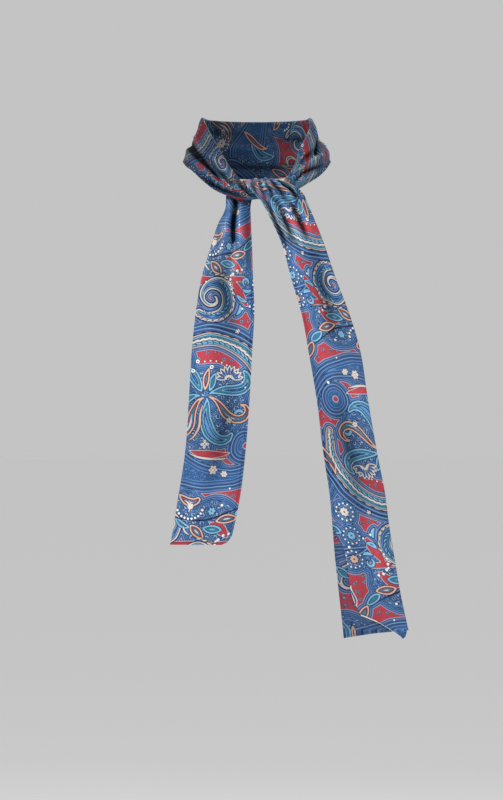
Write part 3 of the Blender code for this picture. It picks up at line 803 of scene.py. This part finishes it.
def print_color(tree, place, settings):
    """The print: each ink over the ones before it, some with a dark line round them, and dots where a
    filling takes them."""
    shades = {name: linear(value) for name, value in HEX.items()}
    shades.update(blue=(*settings.blue, 1), red=(*settings.red, 1), cream=(*settings.cream, 1))
    color, stipple = None, None
    for ink in ["ground", *INKS]:
        depth = add_node(tree, "ShaderNodeAttribute", {"attribute_name": "print_" + ink}).outputs["Fac"]
        filling = add_node(tree, "ShaderNodeValToRGB", inputs={"Fac": depth}, steps=[
            (depth_place(step), (*shades[shade][:3], dots)) for step, shade, dots in RAMPS[ink]])
        coats = [(0.0, filling.outputs["Color"], filling.outputs["Alpha"])]
        if ink in OUTLINES:
            coats.insert(0, (OUTLINES[ink], shades["navy"], 0.0))
        if color is None:
            _, color, stipple = coats.pop()
        for wider, coat, dots in coats:
            mask = add_node(tree, "ShaderNodeMapRange", inputs={
                "Value": depth, "From Min": depth_place(-wider - PRINT_BLEED / 2),
                "From Max": depth_place(-wider + PRINT_BLEED / 2)}).outputs["Result"]
            color = add_node(tree, "ShaderNodeMix", {"data_type": "RGBA"}, {
                "Factor": mask, COLOR_A: color, COLOR_B: coat}).outputs[COLOR_OUT]
            stipple = add_node(tree, "ShaderNodeMix", {"data_type": "FLOAT"}, {
                "Factor": mask, VALUE_A: stipple, VALUE_B: dots}).outputs[VALUE_OUT]
    for dots in STIPPLES:
        grains = add_node(tree, "ShaderNodeTexVoronoi", {"feature": "F1"}, {
            "Vector": place, "Scale": 1 / (dots.spacing * MM), "Randomness": 0.85})
        ring = (dots.strength, dots.strength, dots.strength, 1)
        shape = add_node(tree, "ShaderNodeValToRGB", inputs={"Fac": grains.outputs["Distance"]}, steps=[
            (0.0, BLACK if dots.inner else ring), (dots.inner / dots.spacing, ring),
            (dots.outer / dots.spacing, BLACK)])
        shown = add_node(tree, "ShaderNodeMath", {"operation": "MULTIPLY"}, {
            0: shape.outputs["Color"], 1: stipple})
        color = add_node(tree, "ShaderNodeMix", {"data_type": "RGBA"}, {
            "Factor": shown.outputs["Value"], COLOR_A: color,
            COLOR_B: shades[dots.shade]}).outputs[COLOR_OUT]
    return color


def silk_material(name, settings, reverse):
    """Silk twill, woven and then printed on one face: its fine slanting rib gives a soft, broad sheen
    that runs along the folds, its colour carries painted fold shade and crest highlights, and its reverse
    is duller where the print shows through and darker as painted shade."""
    material = bpy.data.materials.new(name)
    material.use_nodes = True
    tree = material.node_tree
    shader = tree.nodes["Principled BSDF"]
    place = add_node(tree, "ShaderNodeUVMap", {"uv_map": "cloth"}).outputs["UV"]
    color = print_color(tree, place, settings)
    # dye takes unevenly, in a slow drift over a few centimetres
    drift = add_node(tree, "ShaderNodeTexNoise", inputs={
        "Vector": place, "Scale": 1 / (DYE_DRIFT * MM), "Detail": 3.0})
    drift = add_node(tree, "ShaderNodeMapRange", inputs={
        "Value": drift.outputs["Fac"], "From Min": NOISE_RANGE[0], "From Max": NOISE_RANGE[1],
        "To Min": DYE_LEVELS[0], "To Max": DYE_LEVELS[1]})
    # the painted shade of folds and gathers, with painted highlights on the crests, scales the colour
    folds = add_node(tree, "ShaderNodeAttribute", {"attribute_name": "shade"})
    for level in (drift.outputs["Result"], folds.outputs["Fac"]):
        color = add_node(tree, "ShaderNodeVectorMath", {"operation": "SCALE"}, {
            0: color, "Scale": level}).outputs["Vector"]
    # the reverse is mixed towards a dark, dull blue: duller where less print shows through, and darker as
    # painted shade of the inner layer behind the outer one
    if reverse:
        color = add_node(tree, "ShaderNodeMix", {"data_type": "RGBA"}, {
            "Factor": settings.reverse_dull_and_shade, COLOR_A: color,
            COLOR_B: linear(HEX["reverse"])}).outputs[COLOR_OUT]
    # a pale line is drawn along the right tail's rolled hem, on the outer layer
    hem = add_node(tree, "ShaderNodeAttribute", {"attribute_name": "hem"})
    color = add_node(tree, "ShaderNodeMix", {"data_type": "RGBA"}, {
        "Factor": hem.outputs["Fac"], COLOR_A: color, COLOR_B: linear(HEX["hem"])}).outputs[COLOR_OUT]
    # the twill's ribs lie 0.25 mm apart, and are drawn coarser so that they show close to
    slant = add_node(tree, "ShaderNodeMapping", inputs={
        "Vector": place, "Rotation": (0, 0, math.radians(TWILL_SLANT))})
    rib = add_node(tree, "ShaderNodeTexWave", {"wave_type": "BANDS", "bands_direction": "X"}, {
        "Vector": slant.outputs["Vector"], "Scale": WAVE_LENGTH / (TWILL_SPACING * MM), "Distortion": 0.6,
        "Detail": 1.0, "Detail Scale": 2.0})
    slub = add_node(tree, "ShaderNodeTexNoise", inputs={
        "Vector": place, "Scale": 1 / (SLUB_LENGTH * MM), "Detail": 4.0})
    height = add_node(tree, "ShaderNodeMix", {"data_type": "FLOAT"}, {
        "Factor": SLUB_SHARE, VALUE_A: rib.outputs["Fac"], VALUE_B: slub.outputs["Fac"]})
    bump = add_node(tree, "ShaderNodeBump", inputs={
        "Height": height.outputs[VALUE_OUT], "Strength": RELIEF_STRENGTH, "Distance": RELIEF * MM})
    rough = add_node(tree, "ShaderNodeMapRange", inputs={
        "Value": slub.outputs["Fac"], "From Min": NOISE_RANGE[0], "From Max": NOISE_RANGE[1],
        "To Min": settings.roughness - SMOOTHER, "To Max": settings.roughness + ROUGHER})
    tree.links.new(color, shader.inputs["Base Color"])
    tree.links.new(bump.outputs["Normal"], shader.inputs["Normal"])
    tree.links.new(rough.outputs["Result"], shader.inputs["Roughness"])
    shader.inputs["Metallic"].default_value = 0.0
    shader.inputs["IOR"].default_value = SILK_IOR
    # the fine threads shade part of each other's gloss; gloss and sheen are also scaled by the painted
    # fold and gather shade, which dims them in folds and tucks and strengthens them on the painted crest
    # highlights, so their levels change over the cloth
    for name, level in (("Specular IOR Level", THREAD_GLOSS), ("Sheen Weight", settings.sheen)):
        gloss = add_node(tree, "ShaderNodeMath", {"operation": "MULTIPLY"}, {
            0: folds.outputs["Fac"], 1: level})
        tree.links.new(gloss.outputs["Value"], shader.inputs[name])
    shader.inputs["Sheen Roughness"].default_value = SHEEN_ROUGHNESS
    return material


def materials(settings):
    """The two faces of the cloth."""
    names = (("printed_silk_face", False), ("printed_silk_reverse", True))
    return [bpy.data.materials.get(name) or silk_material(name, settings, reverse)
            for name, reverse in names]


def cloth_columns(spacing):
    """Across the unfolded cloth: the outer layer in to the fold, round it, and the inner layer out."""
    steps = round(LAYER_WIDTH / spacing / WALL_SKIP) * WALL_SKIP
    ply = np.linspace(1, 0, steps + 1)
    turn = np.linspace(0, math.pi, ROLL_STEPS + 1)[1:-1]
    across = np.concatenate([ply, np.zeros(len(turn)), ply[::-1]])
    angle = np.concatenate([np.zeros(len(ply)), turn, np.full(len(ply), math.pi)])
    return across, angle


def flat_slab(rows, columns):
    """A flat slab of grid squares. Its upper face has a square for each cell and its lower one, inside
    the fold, is left coarser. Returns the bmesh."""
    bm = bmesh.new()
    bmesh.ops.create_grid(bm, x_segments=rows, y_segments=columns, size=1)
    raised = bmesh.ops.extrude_face_region(bm, geom=bm.faces[:])["geom"]
    for item in raised:
        if isinstance(item, bmesh.types.BMVert):
            item.co.z = 1
    bmesh.ops.recalc_face_normals(bm, faces=bm.faces[:])
    spare = []
    for edge in bm.edges:
        a, b = edge.verts
        lengthwise = abs(a.co.y - b.co.y) < SAME and abs(a.co.y) < 1 - SAME
        if lengthwise and max(a.co.z, b.co.z) < 0.5 and round((a.co.y + 1) / 2 * columns) % WALL_SKIP:
            spare.append(edge)
    bmesh.ops.dissolve_edges(bm, edges=spare, use_verts=True)
    return bm


def print_place(u, along):
    """Where places on the flat cloth lie in the print."""
    u = u + np.interp(along, PRINT_SHIFT_AT, PRINT_SHIFT)
    v = np.interp(along, PRINT_PLACE_AT, PRINT_PLACE)
    return (u + WAVER.height * np.sin(v / WAVER.along) + WAVER.fine_height * np.sin(v / WAVER.fine_along),
            v + WAVER.height * np.sin(u / WAVER.across + v / WAVER.skew))


def silk_shade(along, across, to_hem):
    """How bright the silk's colour is painted: painted shade inside sharp folds and a painted highlight
    on their crests, painted shade where it is gathered in tucks too fine to be modelled, and a darker
    line where the hem is sewn down."""
    fold, free, _ = edges(along)
    rise = fold_rise(along, across, np.linalg.norm(free - fold, axis=-1)) / FOLD_FULL
    shade = 1 - np.clip(-rise, 0, 1) * FOLD_SHADE + np.clip(rise, 0, 1) * FOLD_LIGHT
    shade = shade * np.interp(along, GATHER_AT, GATHER_SHADE)
    return shade * (1 - HEM_SHADE * np.exp(-((to_hem - HEM_WIDTH) / HEM_EASE) ** 2))


def build_cloth(context, name, first_at, last_at, replaced):
    """One piece of the scarf's cloth from one distance along the path to another, printed and hemmed.
    The shown width is that of the cut less what lies in tucks too small to be modelled."""
    settings = context.scene.silk_scarf
    area = (last_at - first_at) * CLOTH_WIDTH
    triangles_to_square = 2 + 2 / WALL_SKIP
    spacing = math.sqrt(area * triangles_to_square / settings.triangles)
    across, angle = cloth_columns(spacing)
    columns = len(across) - 1
    rows = math.floor(settings.triangles / triangles_to_square / columns)
    first = np.full(len(across), first_at)
    last = np.full(len(across), last_at)
    if first_at == PATH_START:
        first = first + hem_offset(LEFT_HEM_LINE, across, angle)
    if last_at == PATH_END:
        last = last + hem_offset(RIGHT_HEM_LINE, across, angle)

    bm = flat_slab(rows, columns)
    for face in bm.faces:
        low = all(vert.co.z < 0.5 for vert in face.verts)
        face.material_index = 1 if low else 0
        face.smooth = True
    places = np.array([vert.co for vert in bm.verts])
    column = np.rint((places[:, 1] + 1) / 2 * columns).astype(int)
    share = (places[:, 0] + 1) / 2
    along = first[column] + (last - first)[column] * share
    lap = np.where(angle[column] == 0, np.minimum(read_rows(along).lap, 1), 1)
    place_across = across[column] * lap
    turn = angle[column]
    # the narrow hems stand proud on the face that shows, over their turned-in cloth
    to_hem = (1 - place_across) * LAYER_WIDTH
    if first_at == PATH_START:
        to_hem = np.minimum(to_hem, along - first[column])
    if last_at == PATH_END:
        to_hem = np.minimum(to_hem, last[column] - along)
    proud = settings.hem_height / MM * np.clip((HEM_WIDTH - to_hem) / HEM_EASE, 0, 1)
    inset = np.where(places[:, 2] > 0.5, -proud, settings.thickness / MM)
    points = cloth_point(along, place_across, turn, inset)
    for vert, point in zip(bm.verts, points):
        vert.co = point
    if bm.calc_volume(signed=True) < 0:
        bmesh.ops.reverse_faces(bm, faces=bm.faces[:])
    mesh = bpy.data.meshes.new(name)
    bm.to_mesh(mesh)
    bm.free()

    # the flat cloth's coordinates, for the map and the print
    out = FOLD_HALF + place_across * LAYER_WIDTH
    u = np.where(turn == 0, out, np.where(turn == math.pi, -out, FOLD_HALF * (1 - 2 * turn / math.pi)))
    corners = np.empty(len(mesh.loops), dtype=np.int32)
    mesh.loops.foreach_get("vertex_index", corners)
    chart = mesh.uv_layers.new(name="cloth")
    chart.uv.foreach_set("vector", (np.stack([u, along], 1)[corners] * MM).astype(np.float32).ravel())
    layers = {"print_" + ink: depth_place(-distance)
              for ink, distance in print_fields(*print_place(u, along)).items()}
    # painted shade of the folds and gathers with painted highlights on the crests, and the hem's sewn
    # line, which scale the colour
    layers["shade"] = silk_shade(along, place_across, to_hem)
    rolled = (last_at == PATH_END) & (turn == 0) & (place_across > HEM_ROLL_FROM)
    layers["hem"] = (rolled & (last[column] - along < HEM_ROLL)).astype(float)
    for layer, values in layers.items():
        data = mesh.attributes.new(layer, "FLOAT", "POINT").data
        data.foreach_set("value", values.astype(np.float32))

    for material in materials(settings):
        mesh.materials.append(material)
    mesh.set_sharp_from_angle(angle=math.radians(SHARP_ANGLE))
    ob = bpy.data.objects.new(name, mesh)
    context.scene.collection.objects.link(ob)
    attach(ob, "root")
    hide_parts(*replaced)
    return ob


class ScarfSettings(bpy.types.PropertyGroup):
    """Sizes and finish of the silk."""

    thickness: bpy.props.FloatProperty(
        name="Thickness", description="Thickness of the silk's wall", default=0.7 * MM, min=0.1 * MM,
        max=1.2 * MM, subtype="DISTANCE", unit="LENGTH", precision=5)
    hem_height: bpy.props.FloatProperty(
        name="Hem Height", description="How far the narrow hems stand proud of the silk",
        default=0.4 * MM, min=0.0, max=1.0 * MM, subtype="DISTANCE", unit="LENGTH", precision=5)
    triangles: bpy.props.IntProperty(
        name="Triangles", description="Most triangles in each piece of cloth", default=196000,
        min=4000, max=199000)
    roughness: bpy.props.FloatProperty(
        name="Roughness", description="Roughness of the silk, as a share", default=0.42, min=0.2, max=0.9,
        subtype="FACTOR")
    sheen: bpy.props.FloatProperty(
        name="Sheen", description="Strength of the silk's sheen at grazing angles", default=0.1, min=0,
        max=1, subtype="FACTOR")
    # how far the reverse is mixed towards a dark blue: duller, and darker as painted shade
    reverse_dull_and_shade: bpy.props.FloatProperty(
        name="Reverse", description="How much duller the print is on the cloth's reverse", default=0.35,
        min=0, max=1, subtype="FACTOR")
    blue: bpy.props.FloatVectorProperty(
        name="Blue", description="Main blue of the print", default=linear(HEX["blue"])[:3], size=3, min=0,
        max=1, subtype="COLOR")
    red: bpy.props.FloatVectorProperty(
        name="Red", description="Red of the print", default=linear(HEX["red"])[:3], size=3, min=0, max=1,
        subtype="COLOR")
    cream: bpy.props.FloatVectorProperty(
        name="Cream", description="Cream of the print's lines", default=linear(HEX["cream"])[:3], size=3,
        min=0, max=1, subtype="COLOR")
    floor_color: bpy.props.FloatVectorProperty(
        name="Floor", description="Colour of the studio floor", default=(0.99, 0.99, 0.99), size=3, min=0,
        max=1, subtype="COLOR")


class SCARF_OT_left_tail(bpy.types.Operator):
    """Adds the cloth of the left tail, up to where it passes behind the knot."""

    bl_idname = "scarf.left_tail"
    bl_label = "Left Tail"

    def execute(self, context):
        build_cloth(context, "silk_tail_left", PATH_START, BEHIND_KNOT, ["tail_left"])
        return {"FINISHED"}


class SCARF_OT_neck(bpy.types.Operator):
    """Adds the cloth round the neck, from behind the knot round the nape and back into it."""

    bl_idname = "scarf.neck"
    bl_label = "Neck"

    def execute(self, context):
        build_cloth(context, "silk_neck", BEHIND_KNOT + SEAM_GAP, INSIDE_KNOT - SEAM_GAP,
                    ["strand_right", "neck_band", "strand_left"])
        return {"FINISHED"}


class SCARF_OT_right_tail(bpy.types.Operator):
    """Adds the cloth that comes up inside the knot, over it and down as the right tail."""

    bl_idname = "scarf.right_tail"
    bl_label = "Knot and Right Tail"

    def execute(self, context):
        build_cloth(context, "silk_tail_right", INSIDE_KNOT, PATH_END, ["knot_wrap", "tail_right"])
        return {"FINISHED"}


def add_soft_box(scene, box):
    """A square soft box that faces the cloth."""
    data = bpy.data.lights.new(box.name, "AREA")
    data.size = box.size
    data.energy = box.watts
    lamp = bpy.data.objects.new(box.name, data)
    scene.collection.objects.link(lamp)
    lamp.location = box.place
    lamp.rotation_euler = (Vector(LIT_PLACE) - Vector(box.place)).to_track_quat("-Z", "Y").to_euler()


class SCARF_OT_stage(bpy.types.Operator):
    """Adds the pale floor, the soft studio light and the camera."""

    bl_idname = "scarf.stage"
    bl_label = "Studio"

    def execute(self, context):
        scene = context.scene
        bm = bmesh.new()
        bmesh.ops.create_grid(bm, x_segments=2, y_segments=2, size=FLOOR_HALF)
        bmesh.ops.translate(bm, verts=bm.verts[:], vec=(0, 0, FLOOR_Z))
        mesh = bpy.data.meshes.new("studio_floor")
        bm.to_mesh(mesh)
        bm.free()
        floor = bpy.data.objects.new("studio_floor", mesh)
        scene.collection.objects.link(floor)
        paint = bpy.data.materials.new("matte_floor_paint")
        paint.use_nodes = True
        shader = paint.node_tree.nodes["Principled BSDF"]
        shader.inputs["Base Color"].default_value = (*scene.silk_scarf.floor_color, 1)
        shader.inputs["Roughness"].default_value = FLOOR_ROUGHNESS
        mesh.materials.append(paint)

        world = bpy.data.worlds.new("studio")
        world.use_nodes = True
        background = world.node_tree.nodes["Background"]
        background.inputs["Color"].default_value = (1.0, 1.0, 1.0, 1)
        background.inputs["Strength"].default_value = ROOM_LIGHT
        scene.world = world
        for box in SOFT_BOXES:
            add_soft_box(scene, box)
        scene.view_settings.view_transform = "Standard"

        data = bpy.data.cameras.new("camera")
        data.sensor_width = SENSOR
        data.sensor_fit = "AUTO"
        data.lens = FOCAL_PIXELS / FRAME_HEIGHT * SENSOR
        data.clip_end = 50
        camera = bpy.data.objects.new("camera", data)
        camera.location = CAMERA_PLACE
        camera.rotation_euler = (math.radians(90), 0, 0)
        scene.collection.objects.link(camera)
        scene.camera = camera
        return {"FINISHED"}


class SCARF_PT_panel(bpy.types.Panel):
    """Lists the scarf's pieces and its settings."""

    bl_idname = "SCARF_PT_panel"
    bl_label = "Silk Scarf"
    bl_space_type = "VIEW_3D"
    bl_region_type = "UI"
    bl_category = "Scarf"

    def draw(self, context):
        for operator in OPERATORS:
            self.layout.operator(operator.bl_idname)
        for name in ScarfSettings.__annotations__:
            self.layout.prop(context.scene.silk_scarf, name)


OPERATORS = (SCARF_OT_left_tail, SCARF_OT_neck, SCARF_OT_right_tail, SCARF_OT_stage)
CLASSES = (ScarfSettings, *OPERATORS, SCARF_PT_panel)


def register():
    for cls in CLASSES:
        bpy.utils.register_class(cls)
    bpy.types.Scene.silk_scarf = bpy.props.PointerProperty(type=ScarfSettings)


def unregister():
    del bpy.types.Scene.silk_scarf
    for cls in reversed(CLASSES):
        bpy.utils.unregister_class(cls)


def main():
    register()
    bpy.ops.scarf.left_tail()
    bpy.ops.scarf.neck()
    bpy.ops.scarf.right_tail()
    bpy.ops.scarf.stage()


if __name__ == "__main__":
    main()
